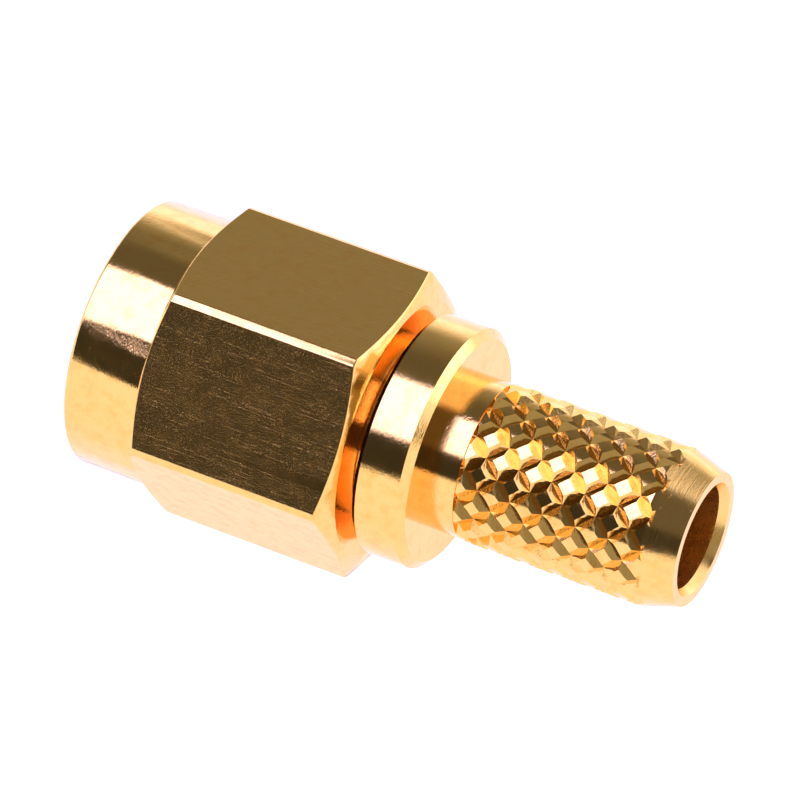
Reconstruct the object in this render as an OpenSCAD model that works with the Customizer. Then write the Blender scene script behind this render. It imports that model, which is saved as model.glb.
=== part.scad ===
// SMA plug (male) for a crimped coaxial cable, straight, with a free-turning coupling nut.
//
// The axis of the connector is X. The mate is on the -X side and the cable leaves towards +X.
// The origin is on the axis, in the contact plane: the front face of the outer contact.
// The connector lies on one flat of its nut, with +Z up. All lengths are in millimetres.

/* [Coupling nut] */
// Width across the flats of the hexagon (spanner size)
hex_af = 8; // [7.8:0.05:8.4]
// Diameter that the corners of the hexagon are turned down to
hex_corner_d = 9.11; // [8.95:0.01:9.2]
// Length of the hexagon, its two bevels included
hex_len = 6.29; // [5.6:0.05:7.2]
// Bevel on the front of the hexagon, from a square face
hex_front_bevel = 25; // [10:1:35]
// Bevel on the rear of the hexagon, from a square face
hex_rear_bevel = 20; // [10:1:35]
// Diameter of the flat ring that is left on the rear face
rear_face_d = 7.52; // [7:0.02:7.8]
// Diameter of the round collar ahead of the hexagon
collar_d = 7.86; // [7.6:0.02:7.96]
// Length of the round collar
collar_len = 2.27; // [1.5:0.05:3]
// Bevel on the front edge of the collar
collar_edge = 0.1; // [0.05:0.01:0.3]
// Distance from the front of the nut to the contact plane
nut_reach = 2.6; // [2.3:0.05:3]
// Major diameter of the coupling thread (1/4-36 UNS)
thread_d = 6.35; // [6.2:0.01:6.5]
// Diameter of the countersink at the mouth of the nut
mouth_d = 6.75; // [6.6:0.01:7]
// Extra depth of the relief behind the thread, on the radius
relief_depth = 0.08; // [0.04:0.01:0.15]
// Distance that the thread stops ahead of the gasket
thread_runout = 0.15; // [0.1:0.01:0.3]
// Distance that the relief runs past the front of the hub
relief_overlap = 0.35; // [0.2:0.05:0.6]

/* [Outer contact and hub] */
// Outer diameter of the contact sleeve that enters the mate
sleeve_d = 4.58; // [4.5:0.01:4.62]
// Length of the sleeve that enters the mate
sleeve_reach = 1.95; // [1.8:0.01:2.1]
// Diameter of the hub that the nut turns on
hub_d = 5.3; // [5.2:0.02:5.4]
// Radial running clearance between the hub and the nut
hub_clear = 0.05; // [0.03:0.01:0.08]
// Bevel on the sharp edges of the hub and sleeve
edge_bevel = 0.06; // [0.03:0.01:0.1]

/* [Retaining ring] */
// Width of the split ring that holds the nut on the hub
ring_w = 0.6; // [0.5:0.02:0.8]
// Depth that the ring reaches into the hub, and again into the nut
ring_bite = 0.25; // [0.2:0.01:0.27]
// Clearance under the ring and over it, on the radius
ring_clear = 0.04; // [0.02:0.01:0.05]
// End float of the ring each way in the groove of the hub
ring_float = 0.1; // [0.05:0.01:0.15]
// Side clearance of the ring in the groove of the nut
ring_side_clear = 0.02; // [0.01:0.01:0.03]
// Distance from the front of the hub to the middle of the ring
ring_setback = 1.55; // [1.2:0.05:2]
// Width of the split in the ring
ring_split = 1.2; // [0.8:0.1:2]

/* [Gasket] */
// Thickness of the silicone gasket
gasket_t = 0.8; // [0.6:0.05:1]
// Outer diameter of the gasket
gasket_d = 6; // [5.6:0.05:6.1]
// Height by which the gasket stands ahead of the end of the mate
gasket_proud = 0.1; // [0.05:0.01:0.2]

/* [Insulator and centre contact] */
// Diameter of the insulator
insulator_d = 4.1; // [4:0.02:4.2]
// Depth of the insulator behind the front of the flange
insulator_seat = 0.6; // [0.4:0.05:1]
// Diameter of the mating pin
pin_d = 0.91; // [0.9:0.01:0.94]
// Length of the mating pin ahead of the contact plane
pin_len = 2; // [1.4:0.05:2.4]
// Diameter of the tip of the pin
pin_tip_d = 0.4; // [0.2:0.05:0.6]
// Half angle of the cone at the tip of the pin
pin_tip_angle = 30; // [20:1:45]
// Diameter of the contact inside the insulator
contact_d = 1.27; // [1.2:0.01:1.4]
// Diameter of the rear barrel of the contact
barrel_d = 1.7; // [1.6:0.05:1.9]
// Length of the rear barrel of the contact
barrel_len = 2.9; // [2.6:0.1:3.4]
// Diameter of the hole for the cable's centre conductor
conductor_d = 1; // [0.9:0.05:1.1]
// Depth of the hole for the cable's centre conductor
conductor_depth = 2.4; // [2:0.1:2.5]

/* [Flange] */
// Gap between the nut and the flange
nut_gap = 0.34; // [0.2:0.02:0.5]
// Diameter of the flange
flange_d = 7.1; // [6.8:0.05:7.4]
// Length of the flange
flange_len = 1.59; // [1.3:0.05:2]
// Bevel on the front edge of the flange
flange_front_bevel = 0.15; // [0.05:0.01:0.3]
// Bevel on the rear edge of the flange, along the axis
flange_rear_bevel = 0.2; // [0.1:0.01:0.35]
// Bevel on the rear edge of the flange, on the radius
flange_rear_step = 0.27; // [0.1:0.01:0.4]

/* [Crimp stem] */
// Diameter of the plain neck behind the flange
stem_d = 4.56; // [4.4:0.02:4.8]
// Length of the stem behind the flange
stem_len = 7.57; // [7:0.05:9]
// Length of the plain neck
neck_len = 0.96; // [0.6:0.02:1.4]
// Bore for the dielectric of the cable
bore_d = 3.06; // [2.9:0.02:3.2]
// Outer diameter of the end of the stem
end_d = 3.93; // [3.8:0.02:4.2]
// Half angle of the taper at the end of the stem
taper_angle = 18; // [12:1:22]
// Diameter of the countersink in the end face
end_mouth_d = 3.34; // [3.25:0.01:3.6]
// Depth of the countersink in the end face
end_mouth_depth = 0.25; // [0.15:0.01:0.4]

/* [Knurl] */
// Number of diamonds round the stem
diamonds = 14; // [12:1:18]
// Length of one diamond along the axis, groove to groove
diamond_len = 1.01; // [0.9:0.01:1.2]
// Length of the knurl, which ends in the taper
knurl_len = 5.72; // [4.8:0.02:6]
// Distance that the lattice of grooves starts ahead of the knurl
knurl_lead = 0.43; // [0:0.01:0.5]
// Turn of the lattice about the axis
knurl_turn = 19; // [0:0.5:25]
// Angle between the two walls of a groove
groove_angle = 90; // [80:1:110]
// Height of the rolled-up diamonds above the neck
crest_height = 0.04; // [0.02:0.01:0.06]
// Share of a diamond's width that its flat top takes where the knurl starts
pad_share = 0.46; // [0.4:0.01:0.6]
// The same share where the knurl ends, as the wheel cuts less deep there
pad_share_end = 0.58; // [0.4:0.01:0.7]

/* [Hidden] */
$fn = 96;
past = 0.5;            // how far a cutter runs past the surface that it opens
gold = [0.86, 0.66, 0.26];

// Places along the axis, from the mate towards the cable
nut_front = -nut_reach;
hex_front = nut_front + collar_len;
nut_rear = hex_front + hex_len;
gasket_front = sleeve_reach - gasket_proud;
hub_front = gasket_front + gasket_t;
thread_end = gasket_front - thread_runout;
relief_end = hub_front + relief_overlap;
ring_mid = hub_front + ring_setback;
flange_front = nut_rear + nut_gap;
flange_rear = flange_front + flange_len;
insulator_rear = flange_front + insulator_seat;
barrel_front = insulator_rear - barrel_len;
knurl_start = flange_rear + neck_len;
stem_end = flange_rear + stem_len;

// Radii that several pieces share
hub_r = hub_d / 2;
nut_bore_r = hub_r + hub_clear;
ring_inner_r = hub_r - ring_bite;
ring_outer_r = nut_bore_r + ring_bite;
stem_r = stem_d / 2;
crest_r = stem_r + crest_height;
taper_start = stem_end - (crest_r - end_d / 2) / tan(taper_angle);

// A turned form about the X axis. Each point is [distance along the axis, radius].
module turned(points) {
    rotate([0, 90, 0])
        rotate_extrude()
            polygon([for (p = points) [p[1], p[0]]]);
}

// ---- Coupling nut ----

// Hexagon with turned corners and a bevel at each end, lying on a flat.
module hexagon() {
    corner_r = hex_corner_d / 2;
    front_rise = (corner_r - collar_d / 2) * tan(hex_front_bevel);
    rear_rise = (corner_r - rear_face_d / 2) * tan(hex_rear_bevel);
    intersection() {
        translate([hex_front, 0, 0])
            rotate([0, 90, 0])
                rotate([0, 0, 30])
                    cylinder(d = hex_af / cos(30), h = hex_len, $fn = 6);
        turned([
            [hex_front, 0],
            [hex_front, collar_d / 2],
            [hex_front + front_rise, corner_r],
            [nut_rear - rear_rise, corner_r],
            [nut_rear, rear_face_d / 2],
            [nut_rear, 0],
        ]);
    }
}

module collar() {
    turned([
        [nut_front, 0],
        [nut_front, collar_d / 2 - collar_edge],
        [nut_front + collar_edge, collar_d / 2],
        [hex_front + collar_edge, collar_d / 2],
        [hex_front + collar_edge, 0],
    ]);
}

// Everything that is bored out of the nut: mouth, thread, relief, running bore and ring groove.
module nut_hollow() {
    thread_r = thread_d / 2;
    relief_r = thread_r + relief_depth;
    mouth_slope = mouth_d / 2 - thread_r;
    groove_half = ring_w / 2 + ring_side_clear;
    groove_r = ring_outer_r + ring_clear;
    turned([
        [nut_front - past, 0],
        [nut_front - past, mouth_d / 2 + past],
        [nut_front + mouth_slope, thread_r],
        [thread_end, thread_r],
        [thread_end + relief_depth, relief_r],
        [relief_end, relief_r],
        [relief_end, nut_bore_r],
        [ring_mid - groove_half, nut_bore_r],
        [ring_mid - groove_half, groove_r],
        [ring_mid + groove_half, groove_r],
        [ring_mid + groove_half, nut_bore_r],
        [nut_rear + past, nut_bore_r],
        [nut_rear + past, 0],
    ]);
}

module coupling_nut() {
    color(gold)
        difference() {
            union() {
                collar();
                hexagon();
            }
            nut_hollow();
        }
}

// ---- Connector body: sleeve, hub, flange and crimp stem, turned from one bar ----

module body_blank() {
    groove_half = ring_w / 2 + ring_float;
    groove_r = ring_inner_r - ring_clear;
    insulator_r = insulator_d / 2;
    turned([
        // outside, from the contact plane to the end of the stem
        [0, insulator_r],
        [0, sleeve_d / 2 - edge_bevel],
        [edge_bevel, sleeve_d / 2],
        [hub_front, sleeve_d / 2],
        [hub_front, hub_r - edge_bevel],
        [hub_front + edge_bevel, hub_r],
        [ring_mid - groove_half, hub_r],
        [ring_mid - groove_half, groove_r],
        [ring_mid + groove_half, groove_r],
        [ring_mid + groove_half, hub_r],
        [flange_front, hub_r],
        [flange_front, flange_d / 2 - flange_front_bevel],
        [flange_front + flange_front_bevel, flange_d / 2],
        [flange_rear - flange_rear_bevel, flange_d / 2],
        [flange_rear, flange_d / 2 - flange_rear_step],
        [flange_rear, stem_r],
        [knurl_start, stem_r],
        [knurl_start + crest_height, crest_r],
        [taper_start, crest_r],
        [stem_end, end_d / 2],
        // inside, back to the contact plane
        [stem_end, end_mouth_d / 2],
        [stem_end - end_mouth_depth, bore_d / 2],
        [insulator_rear, bore_d / 2],
        [insulator_rear, insulator_r],
    ]);
}

// The knurl is a lattice of diamonds. Two families of V grooves cross at the diamonds' corners, so
// a row of corners and a row of diamond centres share each ring of angles. The cutter is a sleeve
// round the stem whose inner wall dips to the grooves' floors and clears the crest over each pad.
half_len = diamond_len / 2;                // from a diamond's centre to its corner, along the axis
half_turn = 180 / diamonds;                // from a diamond's centre to its corner, as an angle
diamond_w = 2 * PI * crest_r / diamonds;   // width of a diamond round the stem
groove_pitch = diamond_len * diamond_w / norm([diamond_len, diamond_w]);    // between like grooves
rings = 2 * ceil((knurl_lead + knurl_len) / diamond_len);                   // rings of corners, less one
wall_overrun = 1.3;                        // height of the cutter's groove walls, as a share of the depth
sleeve_outer_r = crest_r + past;

function on_stem(x, angle, r) = [x, r * cos(angle), r * sin(angle)];
function ring_x(k) = knurl_start - knurl_lead + k * half_len;
function centre_angle(k, i) = knurl_turn + (2 * i + (k % 2)) * half_turn;
// Share of the diamonds that is cut away at ring k, and how deep that makes the grooves there
function cut_share(k) = 1 - pad_share - (pad_share_end - pad_share) * k / rings;
function groove_depth(k) = cut_share(k) * groove_pitch / 2 / tan(groove_angle / 2);
function wall_top_r(k) = crest_r + (wall_overrun - 1) * groove_depth(k);
function pad_reach(k) = 1 - cut_share(k) * wall_overrun;

// Corner points, one ring after another, then four pad points for each diamond, then both outer rings
corner_points = [for (k = [0 : rings]) for (i = [0 : diamonds - 1])
    on_stem(ring_x(k), centre_angle(k, i) + half_turn, crest_r - groove_depth(k))];
pad_points = [for (k = [0 : rings]) for (i = [0 : diamonds - 1])
    for (side = [[-1, 0], [0, -1], [1, 0], [0, 1]])
        on_stem(
            ring_x(k) + side[0] * pad_reach(k) * half_len,
            centre_angle(k, i) + side[1] * pad_reach(k) * half_turn,
            wall_top_r(k)
        )];
outer_points = [for (k = [0, rings]) for (i = [0 : diamonds - 1])
    for (share = [-pad_reach(k), pad_reach(k), 1])
        on_stem(ring_x(k), centre_angle(k, i) + share * half_turn, sleeve_outer_r)];

function wrap(i) = (i + diamonds) % diamonds;
// Corner at the far side (towards +angle) of diamond i in ring k
function corner(k, i) = k * diamonds + wrap(i);
// Corner of diamond i in the ring before or after ring k
function next_corner(k, i, step) = corner(k + step, i - 1 + (k % 2));
// Pad point of diamond i in ring k: 0 front, 1 near side, 2 rear, 3 far side
function pad(k, i, which) = len(corner_points) + 4 * (k * diamonds + wrap(i)) + which;
function outer(last, i, which) =
    len(corner_points) + len(pad_points) + 3 * ((last ? diamonds : 0) + wrap(i)) + which;

// The rear half of a diamond, and the front half
function rear_half(k, i) = [
    [pad(k, i, 1), pad(k, i, 2), pad(k, i, 3)],
    [corner(k, i - 1), next_corner(k, i, 1), pad(k, i, 2)],
    [corner(k, i - 1), pad(k, i, 2), pad(k, i, 1)],
    [next_corner(k, i, 1), corner(k, i), pad(k, i, 3)],
    [next_corner(k, i, 1), pad(k, i, 3), pad(k, i, 2)],
];
function front_half(k, i) = [
    [pad(k, i, 3), pad(k, i, 0), pad(k, i, 1)],
    [corner(k, i), next_corner(k, i, -1), pad(k, i, 0)],
    [corner(k, i), pad(k, i, 0), pad(k, i, 3)],
    [next_corner(k, i, -1), corner(k, i - 1), pad(k, i, 1)],
    [next_corner(k, i, -1), pad(k, i, 1), pad(k, i, 0)],
];
// The flat end of the sleeve beside diamond i, and the strip of its outside wall there
function end_face(last, i) =
    let (
        k = last ? rings : 0,
        inner = [corner(k, i - 1), pad(k, i, 1), pad(k, i, 3), corner(k, i)],
        rim = [outer(last, i - 1, 2), outer(last, i, 0), outer(last, i, 1), outer(last, i, 2)]
    )
    [for (s = [0 : 2])
        last ? [inner[s], inner[s + 1], rim[s + 1], rim[s]] : [rim[s], rim[s + 1], inner[s + 1], inner[s]]];
function outside_wall(i) =
    let (
        front = [outer(false, i - 1, 2), outer(false, i, 0), outer(false, i, 1), outer(false, i, 2)],
        back = [outer(true, i - 1, 2), outer(true, i, 0), outer(true, i, 1), outer(true, i, 2)]
    )
    [for (s = [0 : 2]) [front[s + 1], front[s], back[s], back[s + 1]]];

module knurl_cutter() {
    faces = [
        for (i = [0 : diamonds - 1]) each [
            for (k = [0 : rings - 1]) each rear_half(k, i),
            for (k = [1 : rings]) each front_half(k, i),
            each end_face(false, i),
            each end_face(true, i),
            each outside_wall(i),
        ],
    ];
    intersection() {
        polyhedron(points = concat(corner_points, pad_points, outer_points), faces = faces);
        // the width of the knurling wheel
        translate([knurl_start, -sleeve_outer_r - past, -sleeve_outer_r - past])
            cube([knurl_len, 2 * (sleeve_outer_r + past), 2 * (sleeve_outer_r + past)]);
    }
}

module connector_body() {
    color(gold)
        difference() {
            body_blank();
            knurl_cutter();
        }
}

// ---- Small pieces ----

// Split spring ring, half in the groove of the hub and half in the groove of the nut.
module retaining_ring() {
    color([0.72, 0.48, 0.22])
        difference() {
            turned([
                [ring_mid - ring_w / 2, ring_inner_r],
                [ring_mid - ring_w / 2, ring_outer_r],
                [ring_mid + ring_w / 2, ring_outer_r],
                [ring_mid + ring_w / 2, ring_inner_r],
            ]);
            translate([ring_mid, 0, ring_outer_r])
                cube([ring_w + 2 * past, ring_split, ring_outer_r], center = true);
        }
}

module front_gasket() {
    color([0.75, 0.2, 0.12])
        turned([
            [gasket_front, sleeve_d / 2],
            [gasket_front, gasket_d / 2],
            [hub_front, gasket_d / 2],
            [hub_front, sleeve_d / 2],
        ]);
}

module insulator() {
    color("white")
        turned([
            [0, contact_d / 2],
            [0, insulator_d / 2],
            [insulator_rear, insulator_d / 2],
            [insulator_rear, barrel_d / 2],
            [barrel_front, barrel_d / 2],
            [barrel_front, contact_d / 2],
        ]);
}

module centre_contact() {
    tip_len = (pin_d - pin_tip_d) / 2 / tan(pin_tip_angle);
    color(gold)
        turned([
            [-pin_len, 0],
            [-pin_len, pin_tip_d / 2],
            [-pin_len + tip_len, pin_d / 2],
            [0, pin_d / 2],
            [0, contact_d / 2],
            [barrel_front, contact_d / 2],
            [barrel_front, barrel_d / 2],
            [insulator_rear, barrel_d / 2],
            [insulator_rear, conductor_d / 2],
            [insulator_rear - conductor_depth, conductor_d / 2],
            [insulator_rear - conductor_depth, 0],
        ]);
}

coupling_nut();
connector_body();
retaining_ring();
front_gasket();
insulator();
centre_contact();
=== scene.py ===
"""The looks of the coaxial plug: gold plating, plastic, rubber, thread ridges, light and camera.

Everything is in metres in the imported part's frame: X runs along the axis from the mate to the cable,
and the plug lies on a flat of its nut, with Z up. mm() turns the part's millimetres into metres.
"""

import math

import bpy
from mathutils import Matrix, Vector


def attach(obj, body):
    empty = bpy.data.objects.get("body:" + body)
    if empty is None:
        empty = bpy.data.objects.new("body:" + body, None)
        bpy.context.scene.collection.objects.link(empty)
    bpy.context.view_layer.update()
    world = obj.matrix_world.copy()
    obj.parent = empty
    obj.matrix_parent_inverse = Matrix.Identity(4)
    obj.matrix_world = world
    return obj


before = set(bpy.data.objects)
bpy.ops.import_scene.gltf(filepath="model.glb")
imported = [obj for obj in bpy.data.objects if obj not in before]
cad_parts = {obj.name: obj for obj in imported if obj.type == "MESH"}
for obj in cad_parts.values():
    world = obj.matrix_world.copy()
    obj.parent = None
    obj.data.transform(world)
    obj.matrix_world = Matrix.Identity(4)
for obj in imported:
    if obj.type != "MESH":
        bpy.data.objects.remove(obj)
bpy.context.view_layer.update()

MM = 0.001


def mm(*values):
    return tuple(v * MM for v in values)


# ---------------------------------------------------------------- sizes of the part, in millimetres

HEX_FRONT, NUT_REAR = -0.33, 5.96        # ends of the hexagon
NUT_FRONT = -2.6
THREAD_MAJOR_R, THREAD_MINOR_R = 3.175, 2.83
THREAD_END = 1.62                        # the last full ridge ends here
THREAD_PITCH = 25.4 / 36                 # 36 threads to the inch
THREAD_START = NUT_FRONT + THREAD_PITCH / 2 + 0.1   # 0.1 clear of the mouth of the nut
TAPER_START, TAPER_BLEND = 14.37, 0.15   # the tool's finish sets in over the second
CABLE_BORE_R, BORE_BLEND = 1.60, 0.06
CABLE_BORE_START = 6.0
FLAT_MIN_R = 3.99                        # the flats of the hexagon lie outside this radius
LOWEST_Z = -4.0                          # the flat that the plug lies on


# ---------------------------------------------------------------- node helpers

class Nodes:
    """Builds a node tree with short calls. add() returns the node, the others its output."""

    def __init__(self, tree):
        self.tree = tree
        tree.nodes.clear()

    def add(self, kind, inputs=None, **settings):
        node = self.tree.nodes.new(kind)
        for name, value in settings.items():
            setattr(node, name, value)
        for name, value in (inputs or {}).items():
            self.put(node.inputs[name], value)
        return node

    def put(self, socket, value):
        if isinstance(value, bpy.types.NodeSocket):
            self.tree.links.new(value, socket)
        else:
            socket.default_value = value

    def math(self, operation, a, b=0.0):
        return self.add("ShaderNodeMath", {0: a, 1: b}, operation=operation).outputs[0]

    def ramp(self, value, low, high, to_low=0.0, to_high=1.0):
        """value from low to high becomes to_low to to_high, with smooth ends."""
        node = self.add("ShaderNodeMapRange",
                        {0: value, 1: low, 2: high, 3: to_low, 4: to_high},
                        interpolation_type="SMOOTHSTEP")
        return node.outputs[0]

    def noise(self, vector, scale, detail=3.0, roughness=0.5, stretch=(1, 1, 1)):
        moved = self.add("ShaderNodeMapping", {"Vector": vector, "Scale": stretch}).outputs[0]
        node = self.add("ShaderNodeTexNoise",
                        {"Vector": moved, "Scale": scale, "Detail": detail, "Roughness": roughness})
        return node.outputs[0]

    def mix(self, factor, a, b):
        """Mixes two colours."""
        node = self.add("ShaderNodeMix", data_type="RGBA")
        self.put(node.inputs[0], factor)
        self.put(node.inputs[6], a)
        self.put(node.inputs[7], b)
        return node.outputs[2]

    def band(self, value, start, end, soft):
        """1 between start and end, falling to 0 over the distance soft outside them."""
        rise = self.ramp(value, start - soft, start)
        fall = self.ramp(value, end, end + soft, 1.0, 0.0)
        return self.math("MULTIPLY", rise, fall)


def material(name):
    mat = bpy.data.materials.new(name)
    mat.use_nodes = True
    return mat, Nodes(mat.node_tree)


def colour(r, g, b):
    return (r, g, b, 1.0)


# ---------------------------------------------------------------- materials

GOLD = colour(1.0, 0.60, 0.17)
GOLD_DEEP = colour(0.96, 0.53, 0.125)    # thicker plating, a little redder


def gold(name, hexagon=False):
    """Gold plating over turned brass: a fine plated grain drawn out round the part, tool lines
    that run round it, sparse nicks, and a satin drawn out lengthwise on the flats of a hexagon."""
    mat, n = material(name)
    place = n.add("ShaderNodeTexCoord").outputs["Object"]
    x, y, z = n.add("ShaderNodeSeparateXYZ", {0: place}).outputs
    radius = n.math("SQRT", n.math("ADD", n.math("MULTIPLY", y, y), n.math("MULTIPLY", z, z)))

    # longer round the part than along it
    grain = n.noise(place, 1.0, 3.0, 0.6, (26000, 9000, 9000))
    section = n.add("ShaderNodeCombineXYZ", {0: x, 1: radius, 2: 0.0}).outputs[0]
    lines = n.noise(section, 1.0, 3.0, 0.7, (9000, 9000, 1))
    patches = n.noise(place, 2600.0, 3.0, 0.6)
    nicks = n.ramp(n.noise(place, 1.0, 1.0, 0.5, (9000, 5000, 5000)), 0.70, 0.78)
    height = n.math("ADD", n.math("MULTIPLY", grain, 2.2), n.math("MULTIPLY", lines, 0.5))
    height = n.math("SUBTRACT", height, nicks)
    rough = n.ramp(patches, 0.35, 0.70, 0.09, 0.14)

    # the taper is left as the turning tool cut it, and the bore as the drill did
    cut = n.ramp(x, *mm(TAPER_START, TAPER_START + TAPER_BLEND))
    height = n.math("ADD", height, n.math("MULTIPLY", n.math("MULTIPLY", lines, cut), 2.5))
    rough = n.math("ADD", rough, n.math("MULTIPLY", cut, 0.06))
    bored = n.math("MULTIPLY",
                   n.ramp(radius, *mm(CABLE_BORE_R, CABLE_BORE_R + BORE_BLEND), 1.0, 0.0),
                   n.ramp(x, *mm(CABLE_BORE_START, CABLE_BORE_START + 0.5)))
    rough = n.math("ADD", rough, n.math("MULTIPLY", bored, 0.10))

    if hexagon:
        facing_x = n.add("ShaderNodeSeparateXYZ",
                         {0: n.add("ShaderNodeTexCoord").outputs["Normal"]}).outputs[0]
        flat = n.math("MULTIPLY", n.band(x, HEX_FRONT * MM, NUT_REAR * MM, 0.05 * MM),
                      n.math("GREATER_THAN", radius, FLAT_MIN_R * MM))
        flat = n.math("MULTIPLY", flat, n.ramp(n.math("ABSOLUTE", facing_x), 0.05, 0.2, 1.0, 0.0))
        speckle = n.noise(place, 1.0, 3.0, 0.7, (13000, 26000, 26000))
        streaks = n.ramp(n.noise(place, 1.0, 2.0, 0.5, (500, 22000, 22000)), 0.55, 0.70)
        drawn = n.math("ADD", n.math("MULTIPLY", speckle, 3.2), n.math("MULTIPLY", streaks, 0.5))
        height = n.math("ADD", n.math("MULTIPLY", height, n.math("SUBTRACT", 1.0, flat)),
                        n.math("MULTIPLY", drawn, flat))
        rough = n.math("ADD", rough, n.math("MULTIPLY", flat, 0.06))

    bump = n.add("ShaderNodeBump", {"Strength": 0.5, "Distance": 0.003 * MM, "Height": height})
    base = n.mix(n.ramp(patches, 0.40, 0.75), GOLD, GOLD_DEEP)
    shader = n.add("ShaderNodeBsdfPrincipled", {
        "Base Color": base, "Metallic": 1.0, "Roughness": rough, "Normal": bump.outputs[0]})
    out = n.add("ShaderNodeOutputMaterial")
    n.put(out.inputs["Surface"], shader.outputs[0])
    return mat


def plain(name, base, shade, roughness, metallic=0.0, grain=2500.0, depth=0.006):
    """A material with mottled colour, uneven gloss and a fine grain."""
    mat, n = material(name)
    place = n.add("ShaderNodeTexCoord").outputs["Object"]
    cloud = n.noise(place, 500.0, 4.0, 0.6)
    fine = n.noise(place, grain, 3.0, 0.6)
    bump = n.add("ShaderNodeBump", {"Strength": 0.4, "Distance": depth * MM, "Height": fine})
    shader = n.add("ShaderNodeBsdfPrincipled", {
        "Base Color": n.mix(n.ramp(cloud, 0.35, 0.7), base, shade), "Metallic": metallic,
        "Roughness": n.ramp(fine, 0.3, 0.7, roughness - 0.06, roughness + 0.08),
        "Normal": bump.outputs[0]})
    out = n.add("ShaderNodeOutputMaterial")
    n.put(out.inputs["Surface"], shader.outputs[0])
    return mat


def dress(node, mat):
    """Gives a CAD node its material."""
    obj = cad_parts[node]
    if not obj.data.materials:
        obj.data.materials.append(mat)
    for material_slot in obj.material_slots:
        material_slot.material = mat


nut_gold = gold("nut_gold", hexagon=True)
dress("coupling_nut", nut_gold)
dress("connector_body", gold("body_gold"))
dress("centre_contact", gold("contact_gold"))
dress("retaining_ring", plain("ring_bronze",
      colour(0.72, 0.45, 0.22), colour(0.5, 0.28, 0.12), 0.3, 1.0))
dress("front_gasket", plain("gasket_silicone",
      colour(0.50, 0.09, 0.05), colour(0.38, 0.06, 0.03), 0.55))
dress("insulator", plain("insulator_ptfe",
      colour(0.86, 0.85, 0.76), colour(0.80, 0.78, 0.68), 0.42))


# ---------------------------------------------------------------- edges that catch the light

def soften_edges(node, width):
    """Breaks the sharp edges of a CAD node, as tumbling and plating do."""
    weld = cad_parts[node].modifiers.new("joined_faces", "WELD")
    weld.merge_threshold = 0.0001 * MM
    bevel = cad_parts[node].modifiers.new("broken_edges", "BEVEL")
    bevel.width = width * MM
    bevel.segments = 2
    bevel.limit_method = "ANGLE"
    bevel.angle_limit = math.radians(20)
    bevel.harden_normals = True


# ---------------------------------------------------------------- thread ridges inside the nut

def thread_ridges():
    """The right-hand ridges of the coupling thread, standing in from the nut's plain bore."""
    steps = 72
    turns = (THREAD_END - THREAD_START) / THREAD_PITCH
    crest_half, root_half = THREAD_PITCH / 16, THREAD_PITCH * 7 / 16
    verts, faces = [], []
    count = int(turns * steps)
    for i in range(count + 1):
        angle = 2 * math.pi * i / steps
        x = THREAD_START + THREAD_PITCH * i / steps
        # the ridge rises out of the bore over the first and last third of a turn
        fade = min(1.0, 3 * i / steps, 3 * (count - i) / steps)
        crest_r = THREAD_MAJOR_R - (THREAD_MAJOR_R - THREAD_MINOR_R) * fade
        for dx, r in ((-root_half, THREAD_MAJOR_R), (-crest_half, crest_r),
                      (crest_half, crest_r), (root_half, THREAD_MAJOR_R)):
            verts.append(mm(x + dx, r * math.cos(angle), r * math.sin(angle)))
    for i in range(count):
        a, b = 4 * i, 4 * (i + 1)
        for s in range(3):
            faces.append((a + s, a + s + 1, b + s + 1, b + s))
        faces.append((a + 3, a, b, b + 3))
    faces.append((0, 1, 2, 3)[::-1])
    faces.append(tuple(4 * count + s for s in range(4)))
    mesh = bpy.data.meshes.new("thread_ridges")
    mesh.from_pydata(verts, [], faces)
    mesh.validate()
    mesh.update()
    obj = bpy.data.objects.new("thread_ridges", mesh)
    bpy.context.scene.collection.objects.link(obj)
    mesh.materials.append(nut_gold)
    return obj


ridges = thread_ridges()
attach(ridges, "nut")

soften_edges("coupling_nut", 0.025)


# ---------------------------------------------------------------- floor and light

FLOOR_HALF = 0.6                         # metres


def make_floor():
    """A pale floor that gives off a little light of its own."""
    half = FLOOR_HALF
    mesh = bpy.data.meshes.new("floor")
    z = LOWEST_Z * MM
    mesh.from_pydata([(-half, -half, z), (half, -half, z), (half, half, z), (-half, half, z)],
                     [], [(0, 1, 2, 3)])
    obj = bpy.data.objects.new("floor", mesh)
    bpy.context.scene.collection.objects.link(obj)
    mat, n = material("pale_floor")
    place = n.add("ShaderNodeTexCoord").outputs["Object"]
    tone = n.mix(n.noise(place, 60.0), colour(0.11, 0.11, 0.11), colour(0.13, 0.13, 0.13))
    shader = n.add("ShaderNodeBsdfPrincipled", {
        "Base Color": tone, "Roughness": 0.8,
        "Emission Color": colour(0.80, 0.80, 1.0), "Emission Strength": 1.3})
    out = n.add("ShaderNodeOutputMaterial")
    n.put(out.inputs["Surface"], shader.outputs[0])
    mesh.materials.append(mat)


make_floor()


# Each light is a soft-edged patch of the studio. turn is the angle round the X axis in degrees: 0 at
# the back horizon, 90 overhead, 180 at the front horizon. x is the ray's X part: -1 towards the mate,
# +1 towards the cable. The soft edges lie outside the ranges. blue is the light's blue against its
# red and green: the lamps are cool, which keeps their reflections in the gold near white.
LIGHTS = (
    # name                    turn        soft  x               soft  strength  blue
    ("white wall behind",     (-9, 5),    27,   (-1, 1),        0.1,  1.15,     1.4),
    ("glow above it",         (-9, 15),   55,   (-1, 1),        0.1,  0.25,     1.0),
    ("overhead soft box",     (93, 142),  4,    (-0.95, -0.12), 0.2,  2.3,      2.3),
    ("soft box by the cable", (20, 74),   16,   (0.36, 0.90),   0.30, 1.15,     1.5),
    ("low wall by the cable", (0, 34),    10,   (0.55, 0.93),   0.04, 0.7,      1.5),
    ("front wall by the cable", (112, 178), 12, (0.60, 0.93),   0.1,  0.26,     1.0),
    ("dark card in front",    (147, 178), 4,    (-1, 0.42),     0.1,  -0.08,    1.0),
)
ROOM = 0.12                              # the studio between its lights
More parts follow.
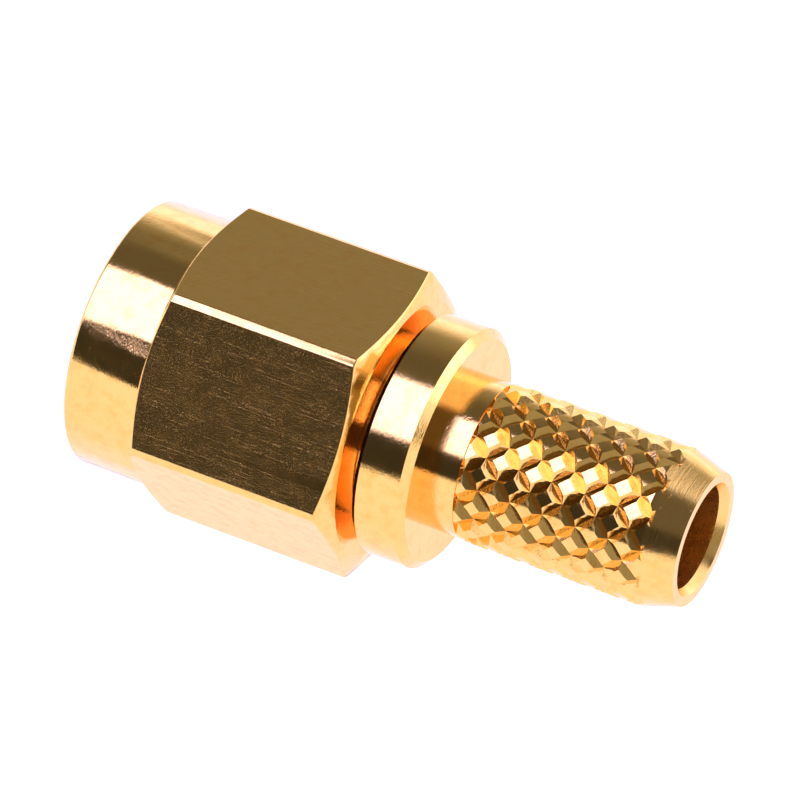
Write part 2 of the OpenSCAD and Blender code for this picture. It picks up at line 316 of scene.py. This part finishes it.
BELOW = 1.1                              # the floor's white beyond its edge


def make_world():
    """A studio all round the plug. The camera itself sees plain white."""
    world = bpy.data.worlds.new("studio")
    bpy.context.scene.world = world
    world.use_nodes = True
    n = Nodes(world.node_tree)
    ray = n.add("ShaderNodeTexCoord").outputs["Generated"]
    x, y, z = n.add("ShaderNodeSeparateXYZ", {0: ray}).outputs
    turn = n.math("MULTIPLY", n.math("ARCTAN2", z, y), 180 / math.pi)
    level = cool = ROOM
    for _name, turns, soft, across, soft_x, strength, blue in LIGHTS:
        patch = n.math("MULTIPLY", n.band(turn, *turns, soft), n.band(x, *across, soft_x))
        level = n.math("ADD", level, n.math("MULTIPLY", patch, strength))
        cool = n.math("ADD", cool, n.math("MULTIPLY", patch, strength * blue))
    tone = n.add("ShaderNodeCombineColor", {0: level, 1: level, 2: cool}).outputs[0]
    tone = n.mix(n.ramp(z, -0.01, 0.01), colour(BELOW, BELOW, BELOW), tone)
    seen = n.add("ShaderNodeLightPath").outputs["Is Camera Ray"]
    sky = n.add("ShaderNodeBackground", {"Color": n.mix(seen, tone, colour(1, 1, 1))})
    out = n.add("ShaderNodeOutputWorld")
    n.put(out.inputs["Surface"], sky.outputs[0])


make_world()
bpy.context.scene.view_settings.view_transform = "Standard"


# ---------------------------------------------------------------- camera

AZIMUTH, ELEVATION, ROLL = 25.41, 40.35, 2.79      # degrees
DISTANCE = 205.2
TARGET = (5.44, 1.18, -0.04)
LENS = 328.1


def make_camera():
    """The photograph's view, fitted to the outlines of the turned edges and the hexagon."""
    a, e = math.radians(AZIMUTH), math.radians(ELEVATION)
    back = Vector((math.sin(a) * math.cos(e), -math.cos(a) * math.cos(e), math.sin(e)))
    cam = bpy.data.objects.new("camera", bpy.data.cameras.new("camera"))
    bpy.context.scene.collection.objects.link(cam)
    level = back.to_track_quat("Z", "Y").to_matrix()
    turn = level @ Matrix.Rotation(math.radians(ROLL), 3, "Z")
    place = Vector(mm(*TARGET)) + back * DISTANCE * MM
    cam.matrix_world = Matrix.Translation(place) @ turn.to_4x4()
    cam.data.lens = LENS
    cam.data.sensor_width = 36.0
    cam.data.clip_start, cam.data.clip_end = 0.01, 5.0
    bpy.context.scene.camera = cam


make_camera()
